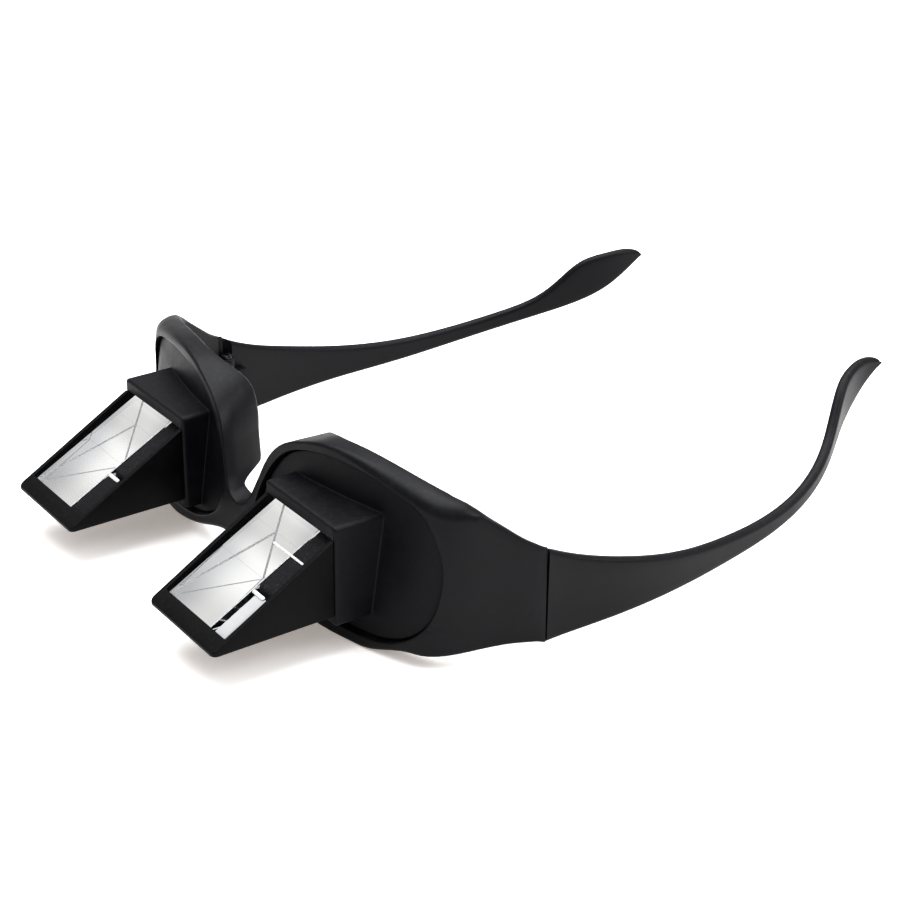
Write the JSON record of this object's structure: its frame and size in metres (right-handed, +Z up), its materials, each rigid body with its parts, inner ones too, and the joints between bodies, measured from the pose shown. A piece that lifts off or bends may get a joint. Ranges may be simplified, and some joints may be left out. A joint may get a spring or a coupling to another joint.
{
  "type": "prism bed glasses",
  "caption": "Black wraparound bed glasses with a mirrored glass prism in a sloping hood before each eye, and folding hooked temples.",
  "frame": {"origin": "on the table below the middle of the bounding box, with the glasses lying upside down on their brow", "axes": "+X across the face towards the wearer's right, +Y from the prisms back to the tips of the temples, +Z up from the brow to the nose notch"},
  "size_m": [0.1498, 0.2018, 0.0437],
  "materials": {
    "frame_plastic": "satin, softly rounded edges",
    "housing_plastic": "fine satin",
    "temple_plastic": "satin",
    "hood_plastic": "satin",
    "bezel_plastic": "matte",
    "prism_glass": "clear, polished",
    "mirror_coat": "silvered",
    "speckled_foam": "rough, speckled grey",
    "pale_foam": "rough, pale",
    "white_glue": "matte",
    "screw_steel": "plain, slotted head"
  },
  "bodies": {
    "frame_body": {"front_frame": "frame_plastic", "right_housing": "housing_plastic", "right_hinge_screw": "screw_steel", "right_hood": "hood_plastic", "right_prism": "prism_glass", "right_mirror": "mirror_coat", "right_upper_spacer": "speckled_foam", "right_lower_spacer": "pale_foam", "right_glue_dabs": "white_glue", "right_bezel": "bezel_plastic", "left_housing": "housing_plastic", "left_hinge_screw": "screw_steel", "left_hood": "hood_plastic", "left_prism": "prism_glass", "left_mirror": "mirror_coat", "left_upper_spacer": "speckled_foam", "left_lower_spacer": "speckled_foam", "left_glue_dab": "white_glue", "left_bezel": "bezel_plastic"},
    "right_temple_body": {"right_temple": "temple_plastic"},
    "left_temple_body": {"left_temple": "temple_plastic"}
  },
  "joints": [
    {"name": "right_temple_hinge", "type": "hinge", "parent": "frame_body", "child": "right_temple_body", "pos_m": [0.0691, -0.02875, 0.0135], "axis": [0, 0, 1], "range_deg": [0, 75]},
    {"name": "left_temple_hinge", "type": "hinge", "parent": "frame_body", "child": "left_temple_body", "pos_m": [-0.0691, -0.02875, 0.0135], "axis": [0, 0, -1], "range_deg": [0, 86]}
  ]
}
